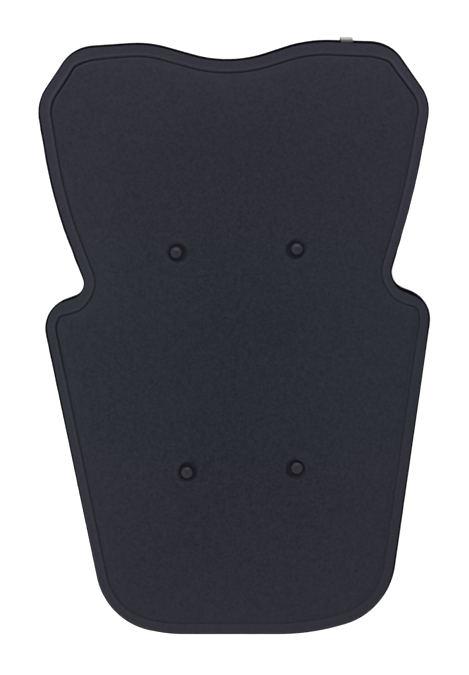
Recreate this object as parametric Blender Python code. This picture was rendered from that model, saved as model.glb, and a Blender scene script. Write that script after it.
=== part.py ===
# A motorcycle jacket back protector. It lies on its back skin with the neck edge towards +Y.
# Five laminated layers are clamped together by four two-part snap rivets.
# Sizes are in millimetres until a mesh is made.
import math

import bmesh
import bpy

MM = 0.001
GAP = 0.3                    # clearance between neighbouring pieces

# The outline, clockwise from the dip in the neck edge: corner x, corner y, rounding radius.
OUTLINE_CORNERS = [
    (-3.5, 210.5, 93),       # neck dip
    (55.5, 230.0, 108),
    (120.0, 228.0, 31),      # right shoulder
    (152.5, 181.0, 33),
    (140.0, 114.0, 542),
    (119.5, 42.5, 12),       # right waist notch
    (154.0, 28.5, 24),
    (119.5, -212.5, 56),     # foot of the right side
    (57.5, -230.0, 174),
    (-49.0, -230.0, 108),
    (-99.5, -221.0, 54),     # foot of the left side
    (-150.8, 22.3, 25),
    (-114.3, 35.3, 9),       # left waist notch
    (-140.5, 102.5, 348),
    (-154.0, 179.5, 35),
    (-124.5, 224.0, 31),     # left shoulder
    (-66.0, 228.0, 85),
]
ARC_STEP = math.radians(12)  # most turn between two outline points
NECK_WIDENING = 0.3          # the lip is this much wider along the neck edge

# Each layer's section, as (distance in from the edge, height), from the field's lower
# face out to the edge and back to the field's upper face.
FIELD_INSET = 16.0
BACK_SKIN_SECTION = [(FIELD_INSET, 0.0), (1.7, 0.0), (1.2, 0.4), (1.2, 1.0), (FIELD_INSET, 1.0)]
BACKING_FOAM_SECTION = [
    (FIELD_INSET, 1.3), (1.0, 1.3), (0.5, 1.9), (0.3, 3.0), (0.5, 4.1), (FIELD_INSET, 4.1),
]
IMPACT_CORE_SECTION = [
    (FIELD_INSET, 4.4), (0.4, 4.4), (0.0, 5.0), (0.0, 5.8), (0.4, 6.3), (9.0, 7.1),
    (FIELD_INSET, 9.4),
]
FACE_FOAM_SECTION = [
    (FIELD_INSET, 9.7), (9.0, 7.5), (0.5, 6.7), (0.2, 7.3), (0.4, 8.3), (1.2, 9.1),
    (2.2, 10.8), (3.8, 12.3), (6.6, 13.0), (8.4, 12.4), (9.5, 11.1), (10.4, 12.3),
    (11.6, 13.2), (FIELD_INSET, 13.9),
]
FACE_SKIN_SECTION = [
    (FIELD_INSET, 14.2), (11.5, 13.6), (10.2, 12.7), (9.5, 11.6), (8.6, 12.8), (6.6, 13.4),
    (3.7, 12.7), (2.0, 11.1), (1.1, 9.5), (0.9, 10.1), (1.8, 11.9), (3.6, 13.5),
    (6.6, 14.2), (8.5, 13.6), (9.5, 12.4), (10.3, 13.5), (11.4, 14.4), (FIELD_INSET, 15.0),
]

# The rivets: axis x, axis y, and how far the pressed dimple's middle is from that axis.
RIVETS = {
    "upper_left": (-44.6, 63.9, 1.1, -0.4),
    "upper_right": (47.6, 66.6, -0.8, -0.7),
    "lower_left": (-36.4, -104.1, 0.9, 0.7),
    "lower_right": (47.5, -100.7, -0.8, -0.8),
}

# The wall of the hole in each layer as (radius, height, centred on the dimple or not), from
# its lower rim to its upper rim.
HOLE_SIDES = 16
BACK_SKIN_HOLE = [
    (7.6, 0.0, 0), (6.5, 1.5, 0), (3.7, 1.5, 0), (3.7, 2.3, 0), (6.2, 2.3, 0), (8.0, 1.0, 0),
]
BACKING_FOAM_HOLE = [(8.4, 1.3, 0), (6.5, 2.6, 0), (3.7, 2.6, 0), (3.7, 4.1, 0)]
IMPACT_CORE_HOLE = [(3.7, 4.4, 0), (3.7, 9.4, 0)]
FACE_FOAM_HOLE = [(2.7, 9.7, 0), (2.7, 11.9, 0), (7.1, 11.9, 1), (8.4, 13.9, 1)]
FACE_SKIN_HOLE = [
    (8.0, 14.2, 1), (6.8, 12.2, 1), (2.7, 12.2, 0), (2.7, 13.0, 0), (6.4, 13.0, 1), (7.6, 15.0, 1),
]

# Turned sections of the rivet's two halves, as (radius, height).
RIVET_SIDES = 24
STUD_SECTION = [
    (1.7, 1.6), (2.3, 2.3), (2.3, 13.3), (4.3, 13.3), (4.5, 13.6), (4.4, 16.2),
    (3.9, 17.0), (2.9, 17.4),
]
CAP_SECTION = [(5.5, 0.1), (6.1, 0.5), (6.1, 1.2), (3.4, 1.2), (3.4, 6.0), (2.6, 6.0), (2.6, 1.3)]

# The size tab, a woven tape folded double and caught under the face foam at the neck edge.
TAB_X = 86.4
TAB_WIDTH = 10.0
TAB_TAPE = 0.5               # thickness of the tape
TAB_LEG_GAP = 0.3
TAB_ROOT_Y = 220.5
TAB_TIP_Y = 230.6
TAB_BOTTOM = 4.95

# The blank marking label, set into a shallow recess of the back skin.
LABEL_CENTRE = (0.0, 138.0)
LABEL_SIZE = (72.0, 44.0)
LABEL_CORNER = 4.0
LABEL_BOTTOM = 0.05
LABEL_THICK = 0.3

CENTRE_SHIFT = (0.28, -0.3)  # puts the middle of the outline's box on the origin


def clear_scene():
    for old in list(bpy.data.objects):
        bpy.data.objects.remove(old, do_unlink=True)


def make_material(name, colour, roughness, metallic=0.0):
    material = bpy.data.materials.new(name)
    material.use_nodes = True
    shader = material.node_tree.nodes["Principled BSDF"]
    shader.inputs["Base Color"].default_value = (*colour, 1.0)
    shader.inputs["Roughness"].default_value = roughness
    shader.inputs["Metallic"].default_value = metallic
    return material


def outline_points():
    # Each corner's arc, as points with the inward normal at each. Going clockwise, inward is
    # to the right of the direction of travel.
    found = []
    for i, (x, y, radius) in enumerate(OUTLINE_CORNERS):
        before = OUTLINE_CORNERS[i - 1]
        after = OUTLINE_CORNERS[(i + 1) % len(OUTLINE_CORNERS)]
        heading_in = math.atan2(y - before[1], x - before[0])
        heading_out = math.atan2(after[1] - y, after[0] - x)
        turn = (heading_out - heading_in + math.pi) % (2 * math.pi) - math.pi
        tangent = radius * math.tan(abs(turn) / 2)
        side = -math.copysign(radius, turn)
        start_x = x - tangent * math.cos(heading_in)
        start_y = y - tangent * math.sin(heading_in)
        centre_x = start_x + side * math.sin(heading_in)
        centre_y = start_y - side * math.cos(heading_in)
        steps = max(2, math.ceil(abs(turn) / ARC_STEP))
        for step in range(steps + 1):
            heading = heading_in + turn * step / steps
            normal = (math.sin(heading), -math.cos(heading))
            found.append((centre_x - side * normal[0], centre_y - side * normal[1], normal))
    return found


OUTLINE = outline_points()


def inset_ring(bm, inset, height):
    # The outline moved in by the inset, a little more where it faces the neck.
    ring = []
    for x, y, normal in OUTLINE:
        facing_neck = min(max((-normal[1] - 0.6) / 0.35, 0.0), 1.0)
        reach = inset * (1 + NECK_WIDENING * facing_neck)
        ring.append(bm.verts.new((x + reach * normal[0], y + reach * normal[1], height)))
    return ring


def circle_ring(bm, centre, radius, height, sides):
    ring = []
    for side in range(sides):
        angle = 2 * math.pi * side / sides
        x = centre[0] + radius * math.cos(angle)
        y = centre[1] + radius * math.sin(angle)
        ring.append(bm.verts.new((x, y, height)))
    return ring


def bridge(bm, first, second):
    for i in range(len(first)):
        j = (i + 1) % len(first)
        bm.faces.new((first[i], first[j], second[j], second[i]))


def loop_edges(bm, ring):
    found = []
    for i in range(len(ring)):
        edge = bm.edges.get((ring[i - 1], ring[i]))
        found.append(edge or bm.edges.new((ring[i - 1], ring[i])))
    return found


def fill_between(bm, rim, holes):
    # A flat face inside the rim, with the holes left open.
    edges = loop_edges(bm, rim)
    for hole in holes:
        edges += loop_edges(bm, hole)
    bmesh.ops.triangle_fill(bm, edges=edges, use_beauty=True, use_dissolve=False)


def finish_object(name, bm, material, smooth=False):
    bmesh.ops.recalc_face_normals(bm, faces=bm.faces[:])
    for face in bm.faces:
        face.smooth = smooth
    bmesh.ops.scale(bm, vec=(MM, MM, MM), verts=bm.verts[:])
    mesh = bpy.data.meshes.new(name)
    bm.to_mesh(mesh)
    bm.free()
    if smooth:
        mesh.set_sharp_from_angle(angle=math.radians(35))
    mesh.materials.append(material)
    made = bpy.data.objects.new(name, mesh)
    made.location = (CENTRE_SHIFT[0] * MM, CENTRE_SHIFT[1] * MM, 0.0)
    bpy.context.scene.collection.objects.link(made)
    return made


def add_layer(name, section, hole_section, material):
    # A sheet with the outline's shape: rings follow the section from the field's lower face
    # round the edge to its upper face, and the rivet holes join the two faces.
    bm = bmesh.new()
    rings = [inset_ring(bm, inset, height) for inset, height in section]
    for lower, upper in zip(rings, rings[1:]):
        bridge(bm, lower, upper)
    bottom_rims = []
    top_rims = []
    for x, y, dimple_x, dimple_y in RIVETS.values():
        wall = []
        for radius, height, on_dimple in hole_section:
            centre = (x + on_dimple * dimple_x, y + on_dimple * dimple_y)
            wall.append(circle_ring(bm, centre, radius, height, HOLE_SIDES))
        for lower, upper in zip(wall, wall[1:]):
            bridge(bm, lower, upper)
        bottom_rims.append(wall[0])
        top_rims.append(wall[-1])
    fill_between(bm, rings[0], bottom_rims)
    fill_between(bm, rings[-1], top_rims)
    return finish_object(name, bm, material, smooth=True)


def add_turned(name, section, centre, material):
    # A body of revolution about the rivet's axis, closed by a disc at each end.
    bm = bmesh.new()
    rings = [circle_ring(bm, centre, r, z, RIVET_SIDES) for r, z in section]
    for lower, upper in zip(rings, rings[1:]):
        bridge(bm, lower, upper)
    bm.faces.new(rings[0])
    bm.faces.new(rings[-1])
    return finish_object(name, bm, material, smooth=True)


def add_cutter(name, low, high):
    bm = bmesh.new()
    bmesh.ops.create_cube(bm, size=1.0)
    middle = [(a + b) / 2 for a, b in zip(low, high)]
    bmesh.ops.scale(bm, vec=[b - a for a, b in zip(low, high)], verts=bm.verts[:])
    bmesh.ops.translate(bm, vec=middle, verts=bm.verts[:])
    cutter = finish_object(name, bm, bpy.data.materials[0])
    cutter.hide_render = True
    cutter.display_type = "WIRE"
    return cutter


def cut(target, cutter):
    difference = target.modifiers.new(cutter.name, "BOOLEAN")
    difference.operation = "DIFFERENCE"
    difference.solver = "EXACT"
    difference.object = cutter


def extrude_profile(bm, profile, along, start, length):
    # A closed profile swept along one axis: two end faces and the walls between them.
    ends = []
    for offset in (start, start + length):
        ends.append([bm.verts.new(along(u, v, offset)) for u, v in profile])
    bridge(bm, ends[0], ends[1])
    bm.faces.new(ends[0])
    bm.faces.new(ends[1])


def add_edge_tab(material):
    # The tape runs out to the tip, turns round a half circle and comes back above itself.
    outer_radius = TAB_TAPE + TAB_LEG_GAP / 2
    inner_radius = TAB_LEG_GAP / 2
    middle = TAB_BOTTOM + outer_radius
    bend_y = TAB_TIP_Y - outer_radius
    profile = [(TAB_ROOT_Y, middle - outer_radius)]
    for step in range(9):
        angle = math.radians(-90 + 22.5 * step)
        profile.append((bend_y + outer_radius * math.cos(angle), middle + outer_radius * math.sin(angle)))
    profile += [(TAB_ROOT_Y, middle + outer_radius), (TAB_ROOT_Y, middle + inner_radius)]
    for step in range(5):
        angle = math.radians(90 - 45 * step)
        profile.append((bend_y + inner_radius * math.cos(angle), middle + inner_radius * math.sin(angle)))
    profile.append((TAB_ROOT_Y, middle - inner_radius))
    bm = bmesh.new()
    extrude_profile(bm, profile, lambda u, v, w: (w, u, v), TAB_X - TAB_WIDTH / 2, TAB_WIDTH)
    return finish_object("edge_tab", bm, material)


def cut_tab_pocket(core):
    # A shallow pocket in the top of the impact core makes room for the folded tab.
    half = TAB_WIDTH / 2 + GAP
    low = (TAB_X - half, TAB_ROOT_Y - GAP, TAB_BOTTOM - GAP)
    high = (TAB_X + half, TAB_TIP_Y + 3, TAB_BOTTOM + 6)
    cut(core, add_cutter("tab_pocket_cutter", low, high))


def add_marking_label(material):
    half_x, half_y = LABEL_SIZE[0] / 2 - LABEL_CORNER, LABEL_SIZE[1] / 2 - LABEL_CORNER
    profile = []
    for quarter, (sx, sy) in enumerate([(1, 1), (-1, 1), (-1, -1), (1, -1)]):
        for step in range(5):
            angle = math.radians(90 * quarter + 22.5 * step)
            profile.append((
                LABEL_CENTRE[0] + sx * half_x + LABEL_CORNER * math.cos(angle),
                LABEL_CENTRE[1] + sy * half_y + LABEL_CORNER * math.sin(angle),
            ))
    bm = bmesh.new()
    extrude_profile(bm, profile, lambda u, v, w: (u, v, w), LABEL_BOTTOM, LABEL_THICK)
    return finish_object("marking_label", bm, material)


def cut_label_recess(skin):
    half_x, half_y = LABEL_SIZE[0] / 2 + GAP, LABEL_SIZE[1] / 2 + GAP
    low = (LABEL_CENTRE[0] - half_x, LABEL_CENTRE[1] - half_y, -1.0)
    high = (LABEL_CENTRE[0] + half_x, LABEL_CENTRE[1] + half_y, LABEL_BOTTOM + LABEL_THICK + 0.2)
    cut(skin, add_cutter("label_recess_cutter", low, high))


def build():
    clear_scene()
    knit = make_material("charcoal_knit", (0.027, 0.029, 0.039), 0.72)
    lining = make_material("black_lining", (0.020, 0.020, 0.022), 0.85)
    soft_foam = make_material("soft_black_foam", (0.016, 0.016, 0.017), 0.9)
    impact_foam = make_material("dense_grey_foam", (0.030, 0.031, 0.034), 0.8)
    nylon = make_material("black_nylon", (0.022, 0.023, 0.028), 0.42)
    tape = make_material("beige_tape", (0.30, 0.29, 0.26), 0.85)
    label = make_material("satin_label", (0.42, 0.42, 0.41), 0.6)

    back_skin = add_layer("back_skin", BACK_SKIN_SECTION, BACK_SKIN_HOLE, lining)
    add_layer("backing_foam", BACKING_FOAM_SECTION, BACKING_FOAM_HOLE, soft_foam)
    core = add_layer("impact_core", IMPACT_CORE_SECTION, IMPACT_CORE_HOLE, impact_foam)
    add_layer("face_foam", FACE_FOAM_SECTION, FACE_FOAM_HOLE, soft_foam)
    add_layer("face_skin", FACE_SKIN_SECTION, FACE_SKIN_HOLE, knit)
    for place, (x, y, _, _) in RIVETS.items():
        add_turned("rivet_stud_" + place, STUD_SECTION, (x, y), nylon)
        add_turned("rivet_cap_" + place, CAP_SECTION, (x, y), nylon)
    add_edge_tab(tape)
    cut_tab_pocket(core)
    add_marking_label(label)
    cut_label_recess(back_skin)


build()
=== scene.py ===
import math

import bpy
import numpy as np
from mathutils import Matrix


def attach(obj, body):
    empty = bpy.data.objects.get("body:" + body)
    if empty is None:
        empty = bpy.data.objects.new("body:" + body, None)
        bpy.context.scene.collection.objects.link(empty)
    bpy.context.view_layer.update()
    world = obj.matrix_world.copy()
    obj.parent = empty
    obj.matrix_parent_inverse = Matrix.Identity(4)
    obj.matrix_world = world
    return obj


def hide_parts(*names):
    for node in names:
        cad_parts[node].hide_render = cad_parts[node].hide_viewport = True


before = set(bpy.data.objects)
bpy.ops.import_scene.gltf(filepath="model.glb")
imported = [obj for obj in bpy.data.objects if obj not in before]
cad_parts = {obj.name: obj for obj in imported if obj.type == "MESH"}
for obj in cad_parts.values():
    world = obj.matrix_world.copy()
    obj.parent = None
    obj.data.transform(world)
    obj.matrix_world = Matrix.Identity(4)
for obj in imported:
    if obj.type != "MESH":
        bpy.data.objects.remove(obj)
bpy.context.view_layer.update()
print("frame loaded:", len(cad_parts), "nodes")

mm = 0.001

# Every layer is carried round this one outline.
padOutline = {
    # corner x, corner y and rounding radius in mm, clockwise from the dip at the neck
    "corners": [
        (-3.5, 210.5, 93),      # dip at the neck
        (55.5, 230.0, 108),
        (120.0, 228.0, 31),     # right shoulder
        (152.5, 181.0, 33),
        (140.0, 114.0, 542),
        (119.5, 42.5, 12),      # right waist notch
        (154.0, 28.5, 24),
        (119.5, -212.5, 56),    # foot of the right side
        (57.5, -230.0, 174),
        (-49.0, -230.0, 108),
        (-99.5, -221.0, 54),    # foot of the left side
        (-150.8, 22.3, 25),
        (-114.3, 35.3, 9),      # left waist notch
        (-140.5, 102.5, 348),
        (-154.0, 179.5, 35),
        (-124.5, 224.0, 31),    # left shoulder
        (-66.0, 228.0, 85),
    ],
    "middle": (0.28, -0.3),   # where the outline's own zero goes
    "arcPoints": 48,
    "columns": 640,           # points round the edge
    "fieldInset": 16.0,       # the border ends and the field begins, mm in from the edge
    "neckWidening": 0.3,      # the border is this much wider along the neck
    "spineHalf": 130.0,       # the field's rings close on a line this long each way
}

rivetPlaces = {
    # axis x, axis y, and how far the dimple's middle lies from the axis, mm
    "upperLeft": (-44.6, 63.9, 1.1, -0.4),
    "upperRight": (47.6, 66.6, -0.8, -0.7),
    "lowerLeft": (-36.4, -104.1, 0.9, 0.7),
    "lowerRight": (47.5, -100.7, -0.8, -0.8),
}

labelPlace = {"centre": (0.28, 137.7), "half": (36.3, 22.3), "rise": 0.5, "soft": 1.6}

# The pressed dimple round a rivet, and the swell round that: radii and heights in mm.
rivetDimple = {
    "floor": 6.0, "rim": 7.9, "depth": 1.8,
    "ring": 8.9, "ringWidth": 1.0, "ringHeight": 0.2,
    "drawn": 0.6, "drawnOver": 26.0,   # share by which the grid is drawn in, and how widely
}

capRecess = {"floor": 6.5, "rim": 7.6, "rise": 1.5}

# How far pressing darkens the cloth, with painted shade in the groove and dimples; how strong the painted
# light on the border, shoulders and dimple swells is; and where the painted cooler cast of the light
# lies.
clothPressAndPaintedLight = {
    "fullPress": 2.4,         # the groove depth at which the pressed cloth and its painted crease shade are full, mm
    "dimplePressShade": 0.8,
    "shoulder": 2.2,
    "fieldEdgeLight": 1.5, "fieldEdgeLightPower": 1.5,
    "coolMiddle": -12.0, "coolHalf": 92.0,   # mm along the pad
}

groove = {
    "inset": 9.2,
    "outerWidth": 0.48,
    "innerWidth": 0.53,
    "puffBack": 1.75,         # the puffed shoulder's distance from the groove
    "puffWidth": 0.75,
    "puffHeight": 0.16,
    "neckShoulder": 0.9,      # along the neck there is painted light on the field's side of the groove too
    "chamferShoulder": 1.1,   # and so there is where the puff is over one
    # share of the way round, clockwise from the neck, and mm there
    "depth": [
        (0.00, 1.0), (0.08, 1.0), (0.10, 1.5), (0.115, 1.4), (0.14, 0.65), (0.20, 0.6),
        (0.25, 0.7), (0.28, 0.55), (0.40, 0.45), (0.50, 0.5), (0.57, 0.55), (0.62, 0.7),
        (0.70, 0.75), (0.73, 1.2), (0.745, 1.1), (0.76, 0.8), (0.85, 0.85), (0.875, 1.3),
        (0.89, 1.8), (0.905, 1.8), (0.92, 1.1), (0.94, 0.95),
    ],
    # painted light on the lip: how much lighter its cloth is made
    "lipLight": [
        (0.00, 1.1), (0.07, 1.2), (0.10, 2.1), (0.16, 1.9), (0.21, 1.7), (0.27, 1.2),
        (0.40, 1.1), (0.50, 1.4), (0.68, 1.4), (0.80, 1.2), (0.89, 1.8), (0.93, 1.1),
    ],
    # how far the shoulder puffs up, and how strong the painted highlight on it is
    "puff": [
        (0.00, 1.1), (0.08, 1.1), (0.10, 2.5), (0.13, 1.4), (0.21, 1.0), (0.25, 0.4),
        (0.40, 0.1), (0.56, 0.15), (0.60, 0.5), (0.70, 0.8), (0.85, 1.1), (0.88, 2.5),
        (0.905, 2.8), (0.92, 1.3),
    ],
    # how much further in than its inset the groove runs: it cuts the shoulder corners
    "wander": [
        (0.00, 1.0), (0.10, 2.5), (0.13, 1.0), (0.20, 0.0), (0.26, 1.0), (0.50, 1.5),
        (0.60, 0.5), (0.80, 1.5), (0.89, 3.0), (0.93, 1.0),
    ],
}

# A band round the cut edge is painted dark as shade; the lip rises from its start.
edgeShadeBand = {
    "inset": 3.4,             # the painted edge shade band ends here
    "start": 0.9,
    # share of the way round, and the band's width in mm
    "width": [
        (0.00, 2.5), (0.08, 2.9), (0.10, 2.9), (0.12, 2.5), (0.14, 1.8), (0.20, 1.3),
        (0.23, 2.3), (0.26, 2.6), (0.28, 1.9), (0.40, 2.5), (0.43, 1.5), (0.55, 1.7),
        (0.60, 1.4), (0.65, 2.1), (0.74, 2.6), (0.75, 1.5), (0.77, 1.7), (0.79, 2.1),
        (0.86, 2.4), (0.93, 2.6),
    ],
}


def roundedOutline(shape):
    # Each corner is an arc of its radius, tangent to the straight sides before and after it.
    # Headings run evenly through the arc, and a point is the arc's centre less the signed
    # radius times the normal to its heading. Inward is to the right of the way travelled.
    corners = np.array(shape["corners"], float)
    toNext = np.roll(corners[:, :2], -1, axis=0) - corners[:, :2]
    headingOut = np.arctan2(toNext[:, 1], toNext[:, 0])
    headingIn = np.roll(headingOut, 1)
    turn = (headingOut - headingIn + np.pi) % (2 * np.pi) - np.pi
    radius = corners[:, 2]
    signed = -np.copysign(radius, turn)
    along = np.stack([np.cos(headingIn), np.sin(headingIn)], axis=1)
    start = corners[:, :2] - along * (radius * np.tan(np.abs(turn) / 2))[:, None]
    centre = start + signed[:, None] * np.stack([along[:, 1], -along[:, 0]], axis=1)
    share = np.linspace(0, 1, shape["arcPoints"])
    heading = headingIn[:, None] + turn[:, None] * share
    normal = np.stack([np.sin(heading), -np.cos(heading)], axis=-1)
    points = centre[:, None] - signed[:, None, None] * normal
    return points.reshape(-1, 2), np.unwrap(heading.reshape(-1))


def evenColumns(shape):
    # The same number of evenly spaced points down the right side and up the left side, from
    # the outline's crossing of x = 0 at the neck to its crossing at the foot.
    points, heading = roundedOutline(shape)
    twice = np.vstack([points, points, points[:1]])
    turned = np.concatenate([heading, heading - 2 * np.pi, heading[:1] - 4 * np.pi])
    length = np.concatenate([[0], np.cumsum(np.hypot(*np.diff(twice, axis=0).T))])
    total = length[len(points)]
    onAxis = np.abs(points[:, 0])
    neck = length[np.argmin(onAxis + 1000 * (points[:, 1] < 0))]
    fine = np.linspace(0, total, 20000)
    foot = fine[np.argmin(np.abs(np.interp(fine, length, twice[:, 0]))
                          + 1000 * (np.interp(fine, length, twice[:, 1]) > 0))]
    half = shape["columns"] // 2
    places = np.concatenate([np.linspace(neck, foot, half, endpoint=False),
                             np.linspace(foot, neck + total, half, endpoint=False)])
    edge = np.stack([np.interp(places, length, twice[:, 0]),
                     np.interp(places, length, twice[:, 1])], axis=1)
    heading = np.interp(places, length, turned)
    inward = np.stack([np.sin(heading), -np.cos(heading)], axis=1)
    return edge + np.array(shape["middle"]), inward, (places - neck) / total


edgePoints, edgeInward, edgeShare = evenColumns(padOutline)
columns = padOutline["columns"]
field = padOutline["fieldInset"]
facingNeck = np.clip((-edgeInward[:, 1] - 0.6) / 0.35, 0, 1)
edgeReach = 1 + padOutline["neckWidening"] * facingNeck
mirrored = np.minimum(np.arange(columns), columns - np.arange(columns))
spineY = padOutline["spineHalf"] * (1 - 4 * mirrored / columns)
print("outline:", columns, "columns,", round(float(edgePoints[:, 0].max() * 2)), "mm wide")


def alongEdge(table):
    # The value at each column, read between the table's places all the way round, then
    # averaged a few times with both neighbours so that it turns no sharp corner.
    places, values = np.array(table).T
    value = np.interp(edgeShare, places, values, period=1)
    for _ in range(3):
        value = value / 2 + (np.roll(value, 1) + np.roll(value, -1)) / 4
    return value


def smoothStep(x):
    # Three x squared less two x cubed, between 0 and 1.
    x = np.clip(x, 0, 1)
    return x * x * (3 - 2 * x)


grooveDepth = alongEdge(groove["depth"])
puffing = alongEdge(groove["puff"])
lipPaintedLight = alongEdge(groove["lipLight"])
grooveWander = alongEdge(groove["wander"])
edgeShadeWidth = alongEdge(edgeShadeBand["width"])


def grooveShape(inset):
    # A bell across the groove, with a steeper side towards the edge than towards the field.
    across = (inset - groove["inset"]) * edgeReach
    width = np.where(across < 0, groove["outerWidth"], groove["innerWidth"])
    return np.exp(-np.abs(across / width) ** 2.2)


def shoulderShape(inset, side):
    # A bell on the shoulder beside the groove, on the edge's side (-1) or the field's (1).
    across = (inset - groove["inset"]) * edgeReach - side * groove["puffBack"]
    return np.exp(-(across / groove["puffWidth"]) ** 2)


def shiftedInset(inset):
    # Rings near the groove follow its wander, and the ring that ends the painted edge shade band follows
    # the band's width. Both shifts fade out smoothly on either side.
    onGroove = smoothStep((inset - 4.0) / 3.5) * smoothStep((field - inset) / 3.5)
    start, end = edgeShadeBand["start"], edgeShadeBand["inset"]
    onBand = smoothStep((inset - start) / (end - start)) * smoothStep((6.2 - inset) / 2.8)
    return inset + grooveWander * onGroove - (end - start - edgeShadeWidth) * onBand


def drawTogether(x, y):
    # Points near a dimple are drawn towards its middle, so the grid is finer there: the
    # distance is cut by up to three fifths, fading out with a bell 26 mm wide.
    for axisX, axisY, offX, offY in rivetPlaces.values():
        dx = x - (axisX + offX + padOutline["middle"][0])
        dy = y - (axisY + offY + padOutline["middle"][1])
        near = np.exp(-(dx * dx + dy * dy) / rivetDimple["drawnOver"] ** 2)
        keep = 1 - rivetDimple["drawn"] * near
        x = x + dx * (keep - 1)
        y = y + dy * (keep - 1)
    return x, y


def nearestRivet(x, y, onDimple):
    # Distance to the nearest rivet's axis, or to the middle of its dimple.
    nearest = np.full_like(x, 1000.0)
    for axisX, axisY, offX, offY in rivetPlaces.values():
        dx = x - (axisX + onDimple * offX + padOutline["middle"][0])
        dy = y - (axisY + onDimple * offY + padOutline["middle"][1])
        nearest = np.minimum(nearest, np.hypot(dx, dy))
    return nearest


def within(distance, floorRadius, rimRadius):
    # One inside the floor's radius, none beyond the rim's, smooth between.
    return 1 - smoothStep((distance - floorRadius) / (rimRadius - floorRadius))


def sheetRows(*parts):
    # Rows of a layer's section joined end to end. Each part gives inset, way in to the spine,
    # height, and the shares of groove, dimple and cap recess that it takes.
    rows = []
    for inset, inward, height, *shares in parts:
        size = max(np.size(inset), np.size(inward), np.size(height))
        rows.append(np.stack([np.broadcast_to(v, size) for v in (inset, inward, height, *shares)]))
    return np.concatenate(rows, axis=1)


def putMesh(name, points, faces, material, smoothAngle=40):
    # points as rows of x, y, z in metres; faces as rows of corner numbers.
    mesh = bpy.data.meshes.new(name)
    mesh.from_pydata(points.tolist(), [], faces.tolist() if hasattr(faces, "tolist") else faces)
    mesh.polygons.foreach_set("use_smooth", np.ones(len(mesh.polygons), bool))
    mesh.set_sharp_from_angle(angle=math.radians(smoothAngle))
    mesh.materials.append(material)
    mesh.validate()
    mesh.update()
    piece = bpy.data.objects.new(name, mesh)
    bpy.context.scene.collection.objects.link(piece)
    return piece


def giveAttribute(piece, name, values):
    attribute = piece.data.attributes.new(name, "FLOAT", "POINT")
    attribute.data.foreach_set("value", np.ascontiguousarray(values, np.float32))


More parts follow.
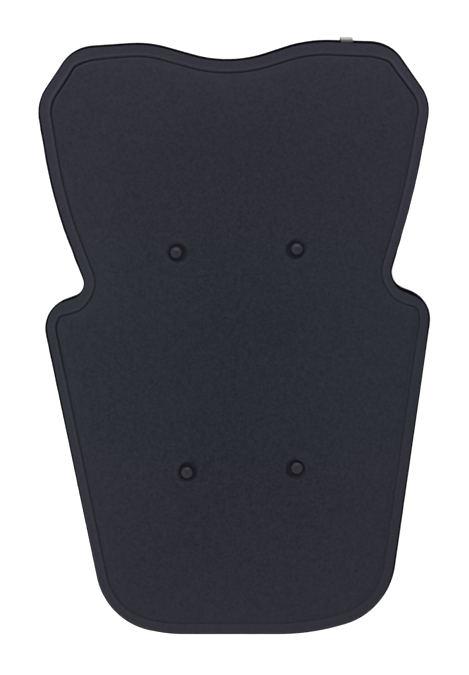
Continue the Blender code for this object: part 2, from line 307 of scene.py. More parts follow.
def carriedLayer(name, rows, material, waver=None, edgeMaterial=None):
    # The section carried round the outline. A point is the edge point moved in by its row's
    # inset, then the given share of the way to the spine. Its height is the row's, less the
    # groove, less the dimples, plus the recesses under the rivet caps and the label. The
    # first and last rows meet on the spine, where the left half reuses the right's points.
    inset, inward, height, grooveShare, dimple, recess = rows[:, :, None]
    reach = shiftedInset(inset) * edgeReach
    x = edgePoints[:, 0] + reach * edgeInward[:, 0]
    y = edgePoints[:, 1] + reach * edgeInward[:, 1]
    if waver is not None:
        push = waver * np.exp(-inset / 1.2)
        x = x - push * edgeInward[:, 0]
        y = y - push * edgeInward[:, 1]
    x = x * (1 - inward)
    y = y * (1 - inward) + spineY * inward
    x, y = drawTogether(x, y)
    bell = grooveShape(inset) * (inward == 0)
    puffed = puffing * shoulderShape(inset, -1) * (inward == 0)
    # Painted highlight on the field's side of the groove, along the neck and where the puff is strong.
    inner = groove["neckShoulder"] * facingNeck
    inner = inner + groove["chamferShoulder"] * np.maximum(puffing - 1.2, 0)
    shoulder = inner * shoulderShape(inset, 1) * (inward == 0)
    fromDimple = nearestRivet(x, y, 1)
    dimpled = within(fromDimple, rivetDimple["floor"], rivetDimple["rim"])
    ringed = np.exp(-((fromDimple - rivetDimple["ring"]) / rivetDimple["ringWidth"]) ** 2)
    recessed = within(nearestRivet(x, y, 0), capRecess["floor"], capRecess["rim"])
    half = labelPlace["half"]
    outside = np.maximum(np.abs(x - labelPlace["centre"][0]) - half[0],
                         np.abs(y - labelPlace["centre"][1]) - half[1])
    labelled = 1 - smoothStep(outside / labelPlace["soft"])
    z = (height + grooveShare * (groove["puffHeight"] * puffed - grooveDepth * bell)
         + dimple * (rivetDimple["ringHeight"] * ringed - rivetDimple["depth"] * dimpled)
         + recess * (capRecess["rise"] * recessed + labelPlace["rise"] * labelled))
    rowCount = rows.shape[1]
    index = np.arange(rowCount * columns).reshape(rowCount, columns)
    index[0] = index[0, mirrored]
    index[-1] = index[-1, mirrored]
    following = np.roll(index, -1, axis=1)
    faces = np.stack([index[:-1], following[:-1], following[1:], index[1:]], axis=-1).reshape(-1, 4)
    used, faces = np.unique(faces, return_inverse=True)
    faces = faces.reshape(-1, 4)
    points = np.stack([x, y, z], axis=-1).reshape(-1, 3)[used] * mm
    piece = putMesh(name, points, faces, material)
    # Darker in the groove and the dimples: pressed cloth, and painted shade in the crease and the
    # hollows.
    pressed = np.maximum(grooveShare * bell * grooveDepth / clothPressAndPaintedLight["fullPress"],
                         clothPressAndPaintedLight["dimplePressShade"] * dimple * dimpled)
    # Painted light: the lip, the field near its border, the puffed shoulders and the swell round each
    # dimple are made lighter.
    paintedLight = lipPaintedLight * (1 - smoothStep((inset + 100 * inward - groove["inset"] + 1) / 2))
    paintedLight = paintedLight + clothPressAndPaintedLight["fieldEdgeLight"] * (1 - inward) ** clothPressAndPaintedLight["fieldEdgeLightPower"]
    paintedLight = paintedLight + grooveShare * clothPressAndPaintedLight["shoulder"] * (puffed + shoulder)
    paintedLight = paintedLight + dimple * ringed
    # A painted cooler cast of the light across the middle of the pad's length.
    cool = np.exp(-((y - clothPressAndPaintedLight["coolMiddle"]) / clothPressAndPaintedLight["coolHalf"]) ** 4)
    giveAttribute(piece, "pressed", np.broadcast_to(pressed, x.shape).reshape(-1)[used])
    giveAttribute(piece, "paintedLight", np.broadcast_to(paintedLight, x.shape).reshape(-1)[used])
    giveAttribute(piece, "coolCast", cool.reshape(-1)[used])
    # The band round the edge takes the painted edge shade.
    if edgeMaterial is not None:
        piece.data.materials.append(edgeMaterial)
        onBand = (inset[:, 0] < edgeShadeBand["inset"] + 0.01) & (inward[:, 0] == 0)
        slots = np.repeat(onBand[:-1] & onBand[1:], columns).astype(np.int32)
        piece.data.polygons.foreach_set("material_index", slots)
    return piece


def wall(low, high, out, corner, steps=9):
    # Up the cut edge: height runs evenly, and the inset grows with the cube of the distance
    # from the wall's middle, which rounds both arrises.
    t = np.linspace(-1, 1, steps)
    return out + corner * np.abs(t) ** 3, (low + high) / 2 + (high - low) / 2 * t


padSection = {
    # heights and distances in from the edge, mm
    "edgeTop": 9.6, "lipHeight": 4.5, "lipRun": 4.4, "lipPower": 2.3,
    "fieldStep": 0.9, "stepAfterGroove": 0.5, "stepRun": 6.3,
    "coreEdge": 6.3, "coreSlope": 0.09,
    "coreRamp": 1.66, "coreRampStart": 8.0, "coreRampRun": 8.0,
    "crown": 0.35, "crownRate": 5,
    "skinThickness": 0.8, "skinLimit": 14.2, "foamBelowFace": 1.15, "foamOverCore": 0.35,
    # each layer's cut edge: underside, top, how far in it stands, rounding of its arrises
    "faceFoam": (6.75, 8.75, 0.25, 0.5), "impactCore": (4.4, 6.35, 0.0, 0.45),
    "backingFoam": (1.35, 4.1, 0.3, 0.5), "backSkin": (0.0, 1.0, 1.15, 0.3),
}


def lipRise(inset):
    # The face skin's height: a superellipse up from the pressed edge, then a soft step up to
    # the field behind the groove.
    up = np.clip((inset - edgeShadeBand["start"]) / padSection["lipRun"], 0, 1)
    power = padSection["lipPower"]
    lip = padSection["edgeTop"] + padSection["lipHeight"] * (1 - (1 - up) ** power) ** (1 / power)
    stepped = inset - groove["inset"] - padSection["stepAfterGroove"]
    return lip + padSection["fieldStep"] * smoothStep(stepped / padSection["stepRun"])


def coreRise(inset):
    # The top of the impact core: nearly level under the border, then a ramp up to the field.
    ramp = smoothStep((inset - padSection["coreRampStart"]) / padSection["coreRampRun"])
    return padSection["coreEdge"] + padSection["coreSlope"] * inset + padSection["coreRamp"] * ramp


def crown(inward):
    # The field swells by a third of a millimetre a little way in from its border.
    return padSection["crown"] * (1 - np.exp(-padSection["crownRate"] * inward))


def smallWaver(size, seed):
    # Uneven knife work round the edge: a few dozen waves of random length and start, summed.
    rng = np.random.default_rng(seed)
    waves = rng.integers(9, 160, 26)[:, None]
    starts = rng.uniform(0, 2 * np.pi, 26)[:, None]
    return size * np.sin(2 * np.pi * waves * edgeShare + starts).sum(axis=0) / 5


# A shader group with named inputs and outputs; each one goes into more than one finish.
def newGroup(name, inputs, outputs):
    group = bpy.data.node_groups.new(name, "ShaderNodeTree")
    for label, kind, value in inputs:
        socket = group.interface.new_socket(label, in_out="INPUT", socket_type=kind)
        if value is not None:
            socket.default_value = value
    for label, kind in outputs:
        group.interface.new_socket(label, in_out="OUTPUT", socket_type=kind)
    return group, group.nodes.new("NodeGroupInput"), group.nodes.new("NodeGroupOutput")


def calc(tree, operation, first, second=None, third=None, clamp=False):
    # One Math node; each value is a number or a socket.
    node = tree.nodes.new("ShaderNodeMath")
    node.operation = operation
    node.use_clamp = clamp
    for slot, value in enumerate((first, second, third)):
        if value is None:
            continue
        if isinstance(value, (int, float)):
            node.inputs[slot].default_value = value
        else:
            tree.links.new(value, node.inputs[slot])
    return node.outputs[0]


def scaled(tree, vector, factor):
    node = tree.nodes.new("ShaderNodeVectorMath")
    node.operation = "SCALE"
    tree.links.new(vector, node.inputs[0])
    if isinstance(factor, (int, float)):
        node.inputs["Scale"].default_value = factor
    else:
        tree.links.new(factor, node.inputs["Scale"])
    return node.outputs[0]


def noise(tree, vector, scale, detail=2.0, rough=0.5):
    node = tree.nodes.new("ShaderNodeTexNoise")
    node.inputs["Detail"].default_value = detail
    node.inputs["Roughness"].default_value = rough
    tree.links.new(vector, node.inputs["Vector"])
    if isinstance(scale, (int, float)):
        node.inputs["Scale"].default_value = scale
    else:
        tree.links.new(scale, node.inputs["Scale"])
    return node.outputs["Fac"]


def makeLoopWeave():
    # Rows of loops: the height along a row is a cosine, shifted from side to side by the
    # slant times a triangle wave across the wale, and lower where two wales meet.
    group, given, out = newGroup("loopWeave", [
        ("Vector", "NodeSocketVector", None), ("Wale", "NodeSocketFloat", 0.9),
        ("Course", "NodeSocketFloat", 0.7), ("Slant", "NodeSocketFloat", 0.8),
    ], [("Height", "NodeSocketFloat"), ("Gap", "NodeSocketFloat")])
    split = group.nodes.new("ShaderNodeSeparateXYZ")
    group.links.new(scaled(group, given.outputs["Vector"], 1000.0), split.inputs[0])
    across = calc(group, "DIVIDE", split.outputs["X"], given.outputs["Wale"])
    triangle = calc(group, "MULTIPLY", calc(group, "PINGPONG", across, 0.5), 2.0)
    along = calc(group, "DIVIDE", split.outputs["Y"], given.outputs["Course"])
    shifted = calc(group, "MULTIPLY_ADD", triangle, given.outputs["Slant"], along)
    loop = calc(group, "COSINE", calc(group, "MULTIPLY", shifted, 2 * math.pi))
    ridge = calc(group, "SINE", calc(group, "MULTIPLY", triangle, math.pi))
    body = calc(group, "MULTIPLY_ADD", loop, 0.25, 0.4)
    height = calc(group, "MULTIPLY_ADD", ridge, 0.35, body)
    group.links.new(height, out.inputs["Height"])
    group.links.new(calc(group, "SUBTRACT", 1.0, height, clamp=True), out.inputs["Gap"])
    return group


def makeMottle():
    # Uneven dye and lint: fine grain and broad cloudiness about one, each with its amount.
    group, given, out = newGroup("mottle", [
        ("Vector", "NodeSocketVector", None), ("Grain Size", "NodeSocketFloat", 1.2),
        ("Grain", "NodeSocketFloat", 0.2), ("Cloud Size", "NodeSocketFloat", 60.0),
        ("Cloud", "NodeSocketFloat", 0.1),
    ], [("Factor", "NodeSocketFloat"), ("Grain", "NodeSocketFloat")])
    places = scaled(group, given.outputs["Vector"], 1000.0)
    fine = noise(group, places, calc(group, "DIVIDE", 1.0, given.outputs["Grain Size"]), 3.0, 0.6)
    broad = noise(group, places, calc(group, "DIVIDE", 1.0, given.outputs["Cloud Size"]), 2.0, 0.5)
    fineShift = calc(group, "MULTIPLY", calc(group, "SUBTRACT", fine, 0.5), given.outputs["Grain"])
    broadShift = calc(group, "MULTIPLY", calc(group, "SUBTRACT", broad, 0.5), given.outputs["Cloud"])
    total = calc(group, "ADD", calc(group, "ADD", fineShift, broadShift), 1.0)
    group.links.new(total, out.inputs["Factor"])
    group.links.new(fine, out.inputs["Grain"])
    return group


def makeFoamCells():
    # Cut cells: round pits from the distance to scattered points, two sizes together.
    group, given, out = newGroup("foamCells", [
        ("Vector", "NodeSocketVector", None), ("Cell", "NodeSocketFloat", 0.6),
    ], [("Height", "NodeSocketFloat"), ("Pit", "NodeSocketFloat")])
    places = scaled(group, given.outputs["Vector"], 1000.0)
    rate = calc(group, "DIVIDE", 1.0, given.outputs["Cell"])
    pits = []
    for times in (1.0, 2.3):
        cells = group.nodes.new("ShaderNodeTexVoronoi")
        group.links.new(places, cells.inputs["Vector"])
        group.links.new(calc(group, "MULTIPLY", rate, times), cells.inputs["Scale"])
        pits.append(cells.outputs["Distance"])
    height = calc(group, "MULTIPLY_ADD", pits[1], 0.4, pits[0])
    group.links.new(height, out.inputs["Height"])
    group.links.new(calc(group, "SUBTRACT", 0.9, height, clamp=True), out.inputs["Pit"])
    return group


groups = {"loopWeave": makeLoopWeave(), "mottle": makeMottle(), "foamCells": makeFoamCells()}


def newMaterial(name, settings):
    # A Principled shader with its fixed numbers set on its own sockets.
    material = bpy.data.materials.new(name)
    material.use_nodes = True
    shader = material.node_tree.nodes["Principled BSDF"]
    for label, value in settings.items():
        shader.inputs[label].default_value = value
    return material, material.node_tree, shader


def placeGroup(tree, name, values, vector):
    node = tree.nodes.new("ShaderNodeGroup")
    node.node_tree = groups[name]
    for label, value in values.items():
        node.inputs[label].default_value = value
    tree.links.new(vector, node.inputs["Vector"])
    return node


def placeLoops(tree, cfg, places):
    values = {"Wale": cfg["wale"], "Course": cfg["course"], "Slant": cfg["slant"]}
    return placeGroup(tree, "loopWeave", values, places)


def placeMottle(tree, cfg, places):
    values = {"Grain Size": cfg["grainSize"], "Grain": cfg["grain"],
              "Cloud Size": cfg["cloudSize"], "Cloud": cfg["cloud"]}
    return placeGroup(tree, "mottle", values, places)


def objectPlaces(tree):
    return tree.nodes.new("ShaderNodeTexCoord").outputs["Object"]


def readAttribute(tree, name):
    node = tree.nodes.new("ShaderNodeAttribute")
    node.attribute_name = name
    return node.outputs["Fac"]


def mixed(tree, factor, first, second, blend="MIX"):
    # One colour Mix node; factor and colours are values or sockets.
    node = tree.nodes.new("ShaderNodeMix")
    node.data_type = "RGBA"
    node.blend_type = blend
    for socket, value in ((node.inputs[0], factor), (node.inputs[6], first), (node.inputs[7], second)):
        if isinstance(value, (int, float)):
            socket.default_value = value
        elif isinstance(value, tuple):
            socket.default_value = (*value, 1.0)
        else:
            tree.links.new(value, socket)
    return node.outputs[2]


def bump(tree, shader, height, distance, strength=1.0, onto=None):
    node = tree.nodes.new("ShaderNodeBump")
    node.inputs["Strength"].default_value = strength
    node.inputs["Distance"].default_value = distance
    tree.links.new(height, node.inputs["Height"])
    if onto is not None:
        tree.links.new(onto, node.inputs["Normal"])
    tree.links.new(node.outputs[0], shader.inputs["Normal"])
    return node.outputs[0]


def greyColour(tree, value):
    # The same number in red, green and blue.
    node = tree.nodes.new("ShaderNodeCombineColor")
    for channel in range(3):
        tree.links.new(value, node.inputs[channel])
    return node.outputs[0]


charcoalKnit = {
    "thread": (0.0254, 0.0249, 0.0356), "gap": (0.0173, 0.0170, 0.0242),
    # thread and gap under the painted cooler cast of the light
    "coolThread": (0.0223, 0.0262, 0.0330), "coolGap": (0.0152, 0.0178, 0.0224),
    # the pressed cloth and painted shade of the groove and dimples
    "pressed": (0.0050, 0.0050, 0.0070), "pressedShare": 0.68,
    # painted light for the lip, the field's border, the shoulders and the dimple swells
    "paintedLitCloth": (0.0730, 0.0690, 0.0960), "paintedLitShare": 0.07,
    "wale": 0.95, "course": 0.72, "slant": 0.85, "loopHeight": 0.00010,
    "grainSize": 2.0, "grain": 1.7, "cloudSize": 70.0, "cloud": 0.2,
}


def makeKnit(cfg):
    material, tree, shader = newMaterial("charcoalKnit", {
        "Roughness": 0.55, "Specular IOR Level": 0.2, "Specular Tint": (0.9, 0.87, 1.0, 1.0),
    })
    places = objectPlaces(tree)
    loops = placeLoops(tree, cfg, places)
    spots = placeMottle(tree, cfg, places)
    warm = mixed(tree, loops.outputs["Gap"], cfg["thread"], cfg["gap"])
    cool = mixed(tree, loops.outputs["Gap"], cfg["coolThread"], cfg["coolGap"])
    # The painted cooler cast of the light across the middle of the pad.
    cloth = mixed(tree, readAttribute(tree, "coolCast"), warm, cool)
    cloth = mixed(tree, 1.0, cloth, greyColour(tree, spots.outputs["Factor"]), "MULTIPLY")
    # Painted light mixed in on the lip, the field's border, the shoulders and the dimple swells.
    paintedLitCloth = calc(tree, "MULTIPLY", readAttribute(tree, "paintedLight"), cfg["paintedLitShare"])
    cloth = mixed(tree, paintedLitCloth, cloth, cfg["paintedLitCloth"])
    # Pressed cloth and painted shade darken the groove and the dimples.
    pressAndShade = calc(tree, "MULTIPLY", readAttribute(tree, "pressed"), cfg["pressedShare"])
    cloth = mixed(tree, pressAndShade, cloth, cfg["pressed"])
    tree.links.new(cloth, shader.inputs["Base Color"])
    fuzz = bump(tree, shader, spots.outputs["Grain"], 0.0002, 0.6)
    bump(tree, shader, loops.outputs["Height"], cfg["loopHeight"], 1.0, fuzz)
    return material


edgeShadePaint = {
    "paintedShade": (0.0025, 0.0025, 0.0035), "pebble": 0.0003,
    "grainSize": 0.7, "grain": 0.9, "cloudSize": 12.0, "cloud": 0.5,
}


def makeEdgeShade(cfg):
    # Painted shade round the cut edge, where the edge rounds down: black, dull, and slightly pebbled.
    material, tree, shader = newMaterial("edgeShadeBand", {
        "Roughness": 0.9, "Specular IOR Level": 0.04,
    })
    spots = placeMottle(tree, cfg, objectPlaces(tree))
    colour = mixed(tree, 1.0, cfg["paintedShade"], greyColour(tree, spots.outputs["Factor"]), "MULTIPLY")
    tree.links.new(colour, shader.inputs["Base Color"])
    bump(tree, shader, spots.outputs["Grain"], cfg["pebble"], 0.8)
    return material


backLining = {
    "thread": (0.022, 0.022, 0.025), "gap": (0.010, 0.010, 0.011),
    "wale": 1.3, "course": 1.1, "slant": 0.0, "loopHeight": 0.00012,
    "grainSize": 1.8, "grain": 0.3, "cloudSize": 90.0, "cloud": 0.25,
}


def makeLining(cfg):
    material, tree, shader = newMaterial("backLining", {
        "Roughness": 0.8, "Specular IOR Level": 0.3, "Sheen Weight": 0.08, "Sheen Roughness": 0.6,
    })
    places = objectPlaces(tree)
    loops = placeLoops(tree, cfg, places)
    spots = placeMottle(tree, cfg, places)
    cloth = mixed(tree, loops.outputs["Gap"], cfg["thread"], cfg["gap"])
    cloth = mixed(tree, 1.0, cloth, greyColour(tree, spots.outputs["Factor"]), "MULTIPLY")
    tree.links.new(cloth, shader.inputs["Base Color"])
    fuzz = bump(tree, shader, spots.outputs["Grain"], 0.0002, 0.5)
    bump(tree, shader, loops.outputs["Height"], cfg["loopHeight"], 1.0, fuzz)
    return material


softCutFoam = {
    "wall": (0.012, 0.012, 0.013), "pit": (0.003, 0.003, 0.003), "cell": 0.55,
    "grainSize": 3.0, "grain": 0.35, "cloudSize": 40.0, "cloud": 0.3,
}

denseCutFoam = {
    "wall": (0.022, 0.022, 0.025), "pit": (0.006, 0.006, 0.007), "cell": 0.4,
    "grainSize": 3.0, "grain": 0.35, "cloudSize": 40.0, "cloud": 0.3,
}


def makeCutFoam(name, cfg):
    material, tree, shader = newMaterial(name, {"Roughness": 0.88, "Specular IOR Level": 0.2})
    places = objectPlaces(tree)
    cells = placeGroup(tree, "foamCells", {"Cell": cfg["cell"]}, places)
    spots = placeMottle(tree, cfg, places)
    colour = mixed(tree, cells.outputs["Pit"], cfg["wall"], cfg["pit"])
    colour = mixed(tree, 1.0, colour, greyColour(tree, spots.outputs["Factor"]), "MULTIPLY")
    tree.links.new(colour, shader.inputs["Base Color"])
    bump(tree, shader, cells.outputs["Height"], 0.00035, 0.8)
    return material


mouldedNylon = {
    "base": (0.0260, 0.0248, 0.0355), "worn": (0.040, 0.038, 0.054),
    "wornFrom": 0.55, "wornGain": 2.5, "rough": 0.18, "roughSpread": 0.1,
    "grainSize": 0.5, "grain": 0.5, "cloudSize": 6.0, "cloud": 0.5,
}


def makeNylon(cfg):
    material, tree, shader = newMaterial("mouldedNylon", {
        "Specular IOR Level": 0.42, "Specular Tint": (1.0, 0.9, 1.0, 1.0),
    })
    places = objectPlaces(tree)
    spots = placeMottle(tree, cfg, places)
    colour = mixed(tree, 1.0, cfg["base"], greyColour(tree, spots.outputs["Factor"]), "MULTIPLY")
    proud = calc(tree, "SUBTRACT", spots.outputs["Grain"], cfg["wornFrom"], clamp=True)
    scuff = calc(tree, "MULTIPLY", proud, cfg["wornGain"])
    colour = mixed(tree, scuff, colour, cfg["worn"])
    tree.links.new(colour, shader.inputs["Base Color"])
    rough = calc(tree, "MULTIPLY_ADD", spots.outputs["Factor"], cfg["roughSpread"], cfg["rough"])
    tree.links.new(rough, shader.inputs["Roughness"])
    bump(tree, shader, spots.outputs["Grain"], 0.00006, 0.6)
    return material


wovenTape = {
    # the dark colour is painted shade on the part laid back over the edge band
    "thread": (0.80, 0.79, 0.68), "gap": (0.50, 0.49, 0.40), "pressed": (0.070, 0.068, 0.045),
    "wale": 0.45, "course": 0.5, "slant": 0.5, "loopHeight": 0.0001,
    "grainSize": 0.8, "grain": 0.3, "cloudSize": 5.0, "cloud": 0.3,
}


def makeTape(cfg):
    material, tree, shader = newMaterial("wovenTape", {
        "Roughness": 0.8, "Specular IOR Level": 0.3, "Sheen Weight": 0.15,
    })
    places = objectPlaces(tree)
    loops = placeLoops(tree, cfg, places)
    spots = placeMottle(tree, cfg, places)
    cloth = mixed(tree, loops.outputs["Gap"], cfg["thread"], cfg["gap"])
    # Painted shade on the part laid back over the edge band.
    cloth = mixed(tree, readAttribute(tree, "pressed"), cloth, cfg["pressed"])
    cloth = mixed(tree, 1.0, cloth, greyColour(tree, spots.outputs["Factor"]), "MULTIPLY")
    tree.links.new(cloth, shader.inputs["Base Color"])
    bump(tree, shader, loops.outputs["Height"], cfg["loopHeight"], 1.0)
    return material


satinLabel = {
    "thread": (0.46, 0.46, 0.45), "gap": (0.30, 0.30, 0.29),
    "wale": 0.3, "course": 0.6, "slant": 0.25, "loopHeight": 0.00006,
    "grainSize": 1.0, "grain": 0.12, "cloudSize": 25.0, "cloud": 0.15,
}


def makeLabel(cfg):
    material, tree, shader = newMaterial("satinLabel", {
        "Roughness": 0.5, "Specular IOR Level": 0.4, "Sheen Weight": 0.1,
    })
    places = objectPlaces(tree)
    loops = placeLoops(tree, cfg, places)
    spots = placeMottle(tree, cfg, places)
    cloth = mixed(tree, loops.outputs["Gap"], cfg["thread"], cfg["gap"])
    cloth = mixed(tree, 1.0, cloth, greyColour(tree, spots.outputs["Factor"]), "MULTIPLY")
    tree.links.new(cloth, shader.inputs["Base Color"])
    bump(tree, shader, loops.outputs["Height"], cfg["loopHeight"], 1.0)
    return material


knitFinish = makeKnit(charcoalKnit)
edgeShadeFinish = makeEdgeShade(edgeShadePaint)
liningFinish = makeLining(backLining)
softFoamFinish = makeCutFoam("softCutFoam", softCutFoam)
impactFoamFinish = makeCutFoam("denseCutFoam", denseCutFoam)
nylonFinish = makeNylon(mouldedNylon)
tapeFinish = makeTape(wovenTape)
labelFinish = makeLabel(satinLabel)
print("finishes made")


def fieldRows(steps):
    # Shares of the way from the border to the spine, evenly spaced, the border left out.
    return np.linspace(0, 1, steps + 1)[1:]


def addLayers():
    into = fieldRows(50)
    coarse = fieldRows(20)
    bandEnd = edgeShadeBand["inset"]
    skin = padSection["skinThickness"]
    below = padSection["foamBelowFace"]
    over = padSection["foamOverCore"]
    # rows stand closest together across the groove
    under = np.concatenate([np.linspace(field, 11.6, 4)[:-1], np.linspace(11.6, 6.4, 13)[:-1],
                            np.linspace(6.4, bandEnd, 4)[:-1], np.linspace(bandEnd, 1.15, 4)])
    face = np.concatenate([np.linspace(edgeShadeBand["start"], bandEnd, 6), np.linspace(bandEnd, 6.4, 8)[1:],
                           np.linspace(6.4, 8.2, 8)[1:], np.linspace(8.2, 10.2, 21)[1:],
                           np.linspace(10.2, 11.6, 7)[1:], np.linspace(11.6, field, 8)[1:]])
    rows = sheetRows(
        (field, coarse[::-1], lipRise(field) - skin + crown(coarse[::-1]), 0, 1, 0),
        (under, 0, np.minimum(lipRise(under) - skin, padSection["skinLimit"]), 1, 1, 0),
        (face, 0, lipRise(face), 1, 1, 0),
        (field, into, lipRise(field) + crown(into), 0, 1, 0),
    )
    faceSkin = carriedLayer("faceSkin", rows, knitFinish, smallWaver(0.06, 3), edgeShadeFinish)

    foamTop = np.concatenate([np.linspace(1.3, 6.4, 7)[:-1], np.linspace(6.4, 11.6, 16)[:-1],
                              np.linspace(11.6, field, 5)])
    wallInset, wallHeight = wall(*padSection["faceFoam"])
    rows = sheetRows(
        (field, coarse[::-1], coreRise(field) + over, 0, 0, 0),
        (np.linspace(field, 1.2, 8), 0, coreRise(np.linspace(field, 1.2, 8)) + over, 0, 0, 0),
        (wallInset, 0, wallHeight, 0, 0, 0),
        (foamTop, 0, lipRise(foamTop) - below, 1, 1, 0),
        (field, coarse, lipRise(field) - below + crown(coarse), 0, 1, 0),
    )
    faceFoam = carriedLayer("faceFoam", rows, softFoamFinish, smallWaver(0.12, 5))

    few = fieldRows(4)
    coreTop = np.linspace(1.0, field, 10)
    wallInset, wallHeight = wall(*padSection["impactCore"])
    low = padSection["impactCore"][0]
    rows = sheetRows(
        (field, few[::-1], low, 0, 0, 0),
        (np.linspace(field, 1.0, 4), 0, low, 0, 0, 0),
        (wallInset, 0, wallHeight, 0, 0, 0),
        (coreTop, 0, coreRise(coreTop), 0, 0, 0),
        (field, few, coreRise(field), 0, 0, 0),
    )
    impactCore = carriedLayer("impactCore", rows, impactFoamFinish, smallWaver(0.08, 7))

    wallInset, wallHeight = wall(*padSection["backingFoam"])
    low, high = padSection["backingFoam"][:2]
    rows = sheetRows(
        (field, coarse[::-1], low, 0, 0, 0.8),
        (np.linspace(field, 1.2, 4), 0, low, 0, 0, 0.8),
        (wallInset, 0, wallHeight, 0, 0, 0),
        (np.linspace(1.2, field, 4), 0, high, 0, 0, 0),
        (field, few, high, 0, 0, 0),
    )
    backingFoam = carriedLayer("backingFoam", rows, softFoamFinish, smallWaver(0.12, 9))

    wallInset, wallHeight = wall(*padSection["backSkin"])
    low, high = padSection["backSkin"][:2]
    rows = sheetRows(
        (field, into[::-1], low, 0, 0, 1),
        (np.linspace(field, 1.7, 8), 0, low, 0, 0, 1),
        (wallInset, 0, wallHeight, 0, 0, 0),
        (np.linspace(1.7, field, 4), 0, high, 0, 0, 0),
        (field, coarse, high, 0, 0, 0.85),
    )
    backSkin = carriedLayer("backSkin", rows, liningFinish, smallWaver(0.05, 13))
    return faceSkin, faceFoam, impactCore, backingFoam, backSkin


layers = addLayers()
for piece, node, slot in zip(
    layers,
    ("face_skin", "face_foam", "impact_core", "backing_foam", "back_skin"),
    ("knit_fabric", "soft_foam", "impact_foam", "soft_foam", "lining_fabric"),
):
    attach(piece, "root")
    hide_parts(node)
print("layers made:", [len(piece.data.polygons) for piece in layers])


# Each rivet is a stud and the cap that its post snaps into.
rivet = {
    "sides": 64,
    # radius and height, mm, from the post's tip up to the middle of the head
    "stud": [
        (0.0, 1.6), (1.5, 1.6), (1.7, 1.62), (2.2, 2.1), (2.3, 2.4), (2.3, 13.2), (2.45, 13.3),
        (4.1, 13.3), (4.35, 13.35), (4.5, 13.55), (4.52, 14.2), (4.5, 15.0), (4.42, 15.4),
        (4.2, 15.75), (3.8, 16.08), (3.3, 16.42), (2.7, 16.76), (2.0, 17.06), (1.2, 17.28),
        (0.6, 17.37), (0.0, 17.4),
    ],
    "cap": [
        (0.0, 0.12), (1.0, 0.12), (1.25, 0.3), (1.5, 0.12), (4.2, 0.1), (4.5, 0.3), (4.8, 0.12),
        (5.5, 0.12), (5.9, 0.25), (6.08, 0.5), (6.1, 0.9), (6.0, 1.15), (5.8, 1.2), (3.5, 1.2),
        (3.4, 1.3), (3.4, 5.9), (3.3, 6.0), (2.7, 6.0), (2.6, 5.9), (2.6, 1.4), (2.5, 1.3),
        (0.0, 1.3),
    ],
}


def turned(name, profile, centre, material):
    # The profile carried round the axis: x is centre plus radius times the cosine, y centre
    # plus radius times the sine, z the height. Its two ends on the axis are one point each.
    radius, height = np.array(profile).T
    sides = rivet["sides"]
    angle = np.arange(sides) * 2 * np.pi / sides
    x = centre[0] + radius[:, None] * np.cos(angle)
    y = centre[1] + radius[:, None] * np.sin(angle)
    z = np.broadcast_to(height[:, None], x.shape)
    index = np.arange(x.size).reshape(x.shape)
    index[0] = index[0, 0]
    index[-1] = index[-1, 0]
    following = np.roll(index, -1, axis=1)
    rings = np.stack([index[1:-2], following[1:-2], following[2:-1], index[2:-1]], axis=-1)
    low = np.stack([index[0], following[1], index[1]], axis=-1)
    high = np.stack([index[-2], following[-2], index[-1]], axis=-1)
    points = np.stack([x, y, z], axis=-1).reshape(-1, 3) * mm
    faces = [*rings.reshape(-1, 4).tolist(), *low.tolist(), *high.tolist()]
    kept, flat = np.unique(np.concatenate(faces), return_inverse=True)
    sizes = [len(face) for face in faces]
    cuts = np.cumsum(sizes)[:-1]
    faces = [part.tolist() for part in np.split(flat, cuts)]
    return putMesh(name, points[kept], faces, material, 50)


for place, (axisX, axisY, _, _) in rivetPlaces.items():
    centre = (axisX + padOutline["middle"][0], axisY + padOutline["middle"][1])
    nodeEnd = place.replace("Left", "_left").replace("Right", "_right")
    for kind, profile in (("stud", rivet["stud"]), ("cap", rivet["cap"])):
        piece = turned("rivet" + kind.capitalize() + place[0].upper() + place[1:],
                       profile, centre, nylonFinish)
        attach(piece, "root")
        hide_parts("rivet_" + kind + "_" + nodeEnd)
print("rivets turned")


# A short tape folded over the neck edge.
tab = {
    "x": 86.2, "width": 9.0, "tape": 0.4, "stations": 25,
    "bow": 0.25, "bowFrom": 227.8, "bowRun": 2.0,   # its middle bows out past the edge, mm
    "pressedFrom": 228.4, "pressedRun": 3.4, "pressedAbove": 10.0,   # painted shade on the part laid back over the edge band, from here, mm
    # middle line of the tape, y and height in mm: out from between the layers, up the cut
    # edge and back over the sealed band
    "path": [
        (220.8, 6.55), (224.8, 6.55), (228.4, 6.55), (229.7, 6.9), (230.2, 7.8), (230.1, 9.4),
        (229.5, 10.9), (228.5, 12.2), (227.3, 13.2), (226.1, 13.75), (225.0, 13.95),
        (224.3, 14.0),
    ],
    "points": 44,
}


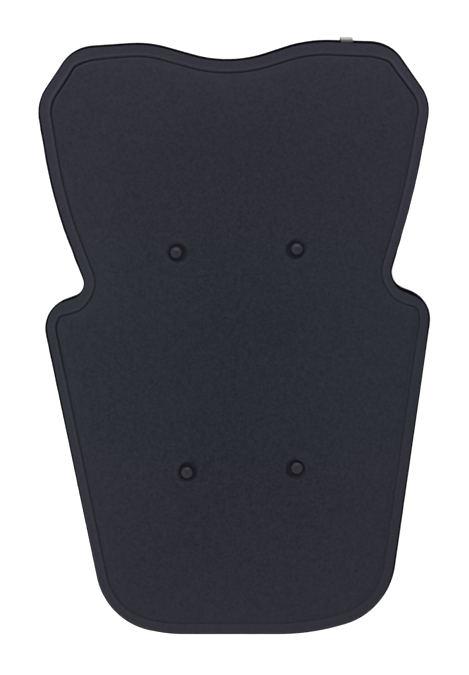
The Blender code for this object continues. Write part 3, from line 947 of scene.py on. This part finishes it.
def foldedTape(cfg):
    # A smooth curve through the path's points, by cubic steps between them, with the tape's
    # two faces half a thickness to either side. The strip is carried across the width, and
    # its middle bows a little more than its selvedges.
    path = np.array(cfg["path"])
    knots = np.concatenate([[0], np.cumsum(np.hypot(*np.diff(path, axis=0).T))])
    slopes = np.gradient(path, knots, axis=0)
    t = np.linspace(0, knots[-1], cfg["points"])
    span = np.clip(np.searchsorted(knots, t, side="right") - 1, 0, len(knots) - 2)
    step = (knots[span + 1] - knots[span])[:, None]
    u = ((t - knots[span]) / step[:, 0])[:, None]
    line = ((1 + 2 * u) * (1 - u) ** 2 * path[span] + u * (1 - u) ** 2 * step * slopes[span]
            + u * u * (3 - 2 * u) * path[span + 1] + u * u * (u - 1) * step * slopes[span + 1])
    along = np.gradient(line, axis=0)
    along = along / np.hypot(*along.T)[:, None]
    normal = np.stack([along[:, 1], -along[:, 0]], axis=1)
    ring = np.vstack([line + cfg["tape"] / 2 * normal, (line - cfg["tape"] / 2 * normal)[::-1]])
    across = np.linspace(-0.5, 0.5, cfg["stations"])[:, None]
    rising = smoothStep((ring[:, 0] - cfg["bowFrom"]) / cfg["bowRun"])
    bow = cfg["bow"] * (1 - (2 * across) ** 2) * rising
    x = cfg["x"] + across * cfg["width"]
    points = np.stack(np.broadcast_arrays(x, ring[:, 0] + bow, ring[:, 1]), axis=-1)
    loop = len(ring)
    index = np.arange(cfg["stations"] * loop).reshape(-1, loop)
    following = np.roll(index, -1, axis=1)
    sides = np.stack([index[:-1], index[1:], following[1:], following[:-1]], axis=-1).reshape(-1, 4)
    ends = [index[0].tolist(), index[-1][::-1].tolist()]
    return points.reshape(-1, 3) * mm, [*sides.tolist(), *ends]


points, faces = foldedTape(tab)
edgeTab = putMesh("edgeTab", points, faces, tapeFinish, 60)
# The part laid back over the edge band is darkened: painted shade.
tapeShade = smoothStep((tab["pressedFrom"] - points[:, 1] / mm) / tab["pressedRun"])
giveAttribute(edgeTab, "pressed", tapeShade * (points[:, 2] > tab["pressedAbove"] * mm))
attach(edgeTab, "root")
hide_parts("edge_tab")

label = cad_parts["marking_label"]
label.material_slots[0].material = labelFinish
print("tab and label made")


studio = {
    "floorHalf": 4.0, "floorColour": (0.45, 0.45, 0.46), "floorGlow": 0.85,
    "skyLow": 0.52, "skyHigh": 0.10, "skyPower": 6.0,
    "skyColour": (0.93, 0.99, 1.08), "floorDrop": 0.0002,
    "camera": (0.00021, -0.0013, 0.5), "lens": 33.91,
}


def addFloor(cfg):
    half = cfg["floorHalf"]
    points = np.array([(-half, -half, 0), (half, -half, 0), (half, half, 0), (-half, half, 0)], float)
    points[:, 2] = -cfg["floorDrop"]
    material, tree, shader = newMaterial("paleFloor", {
        "Base Color": (*cfg["floorColour"], 1.0), "Roughness": 0.9, "Specular IOR Level": 0.1,
        "Emission Color": (1.0, 1.0, 1.0, 1.0),
    })
    seen = tree.nodes.new("ShaderNodeLightPath").outputs["Is Camera Ray"]
    tree.links.new(calc(tree, "MULTIPLY", seen, cfg["floorGlow"]), shader.inputs["Emission Strength"])
    floor = putMesh("paleFloor", points, np.array([(0, 1, 2, 3)]), material)


def addSky(cfg):
    # A soft dome: dim overhead, brighter towards the horizon, white where the camera sees it.
    world = bpy.data.worlds.new("softDome")
    bpy.context.scene.world = world
    world.use_nodes = True
    tree = world.node_tree
    tree.nodes.clear()
    split = tree.nodes.new("ShaderNodeSeparateXYZ")
    tree.links.new(tree.nodes.new("ShaderNodeTexCoord").outputs["Generated"], split.inputs[0])
    up = calc(tree, "POWER", calc(tree, "MAXIMUM", split.outputs["Z"], 0.0), cfg["skyPower"])
    strength = calc(tree, "MULTIPLY_ADD", up, cfg["skyHigh"] - cfg["skyLow"], cfg["skyLow"])
    seen = tree.nodes.new("ShaderNodeLightPath").outputs["Is Camera Ray"]
    strength = calc(tree, "MAXIMUM", strength, seen)
    background = tree.nodes.new("ShaderNodeBackground")
    background.inputs["Color"].default_value = (*cfg["skyColour"], 1.0)
    tree.links.new(strength, background.inputs["Strength"])
    out = tree.nodes.new("ShaderNodeOutputWorld")
    tree.links.new(background.outputs[0], out.inputs["Surface"])


softboxes = {
    # place, size, power, colour, and whether the shiny pieces mirror it
    "neckSoftbox": ((0.0, 0.9, 0.65), (1.2, 0.5), 2.8, (1.0, 0.95, 1.0), True),
    "footSoftbox": ((0.0, -0.9, 0.65), (1.2, 0.5), 2.9, (1.0, 0.94, 0.68), False),
    "leftSoftbox": ((-0.65, 0.0, 0.5), (0.4, 1.1), 2.85, (0.97, 1.0, 1.0), False),
    "rightSoftbox": ((0.65, 0.45, 0.5), (0.4, 1.1), 1.45, (0.97, 0.99, 1.08), False),
}


def addSoftbox(name, place, size, power, colour, mirrored):
    lamp = bpy.data.lights.new(name, "AREA")
    lamp.shape = "RECTANGLE"
    lamp.size, lamp.size_y = size
    lamp.energy = power
    lamp.color = colour
    made = bpy.data.objects.new(name, lamp)
    made.location = place
    made.visible_camera = False
    made.visible_glossy = mirrored
    away = math.hypot(place[0], place[1])
    made.rotation_euler = (math.atan2(away, place[2]), 0.0, math.atan2(place[0], -place[1]))
    bpy.context.scene.collection.objects.link(made)


def addCamera(cfg):
    lens = bpy.data.cameras.new("camera")
    lens.lens = cfg["lens"]
    lens.sensor_width = 36.0
    made = bpy.data.objects.new("camera", lens)
    made.location = cfg["camera"]
    bpy.context.scene.collection.objects.link(made)
    bpy.context.scene.camera = made


addFloor(studio)
addSky(studio)
for name, values in softboxes.items():
    addSoftbox(name, *values)
addCamera(studio)
bpy.context.scene.view_settings.view_transform = "Standard"
print("light and camera set")
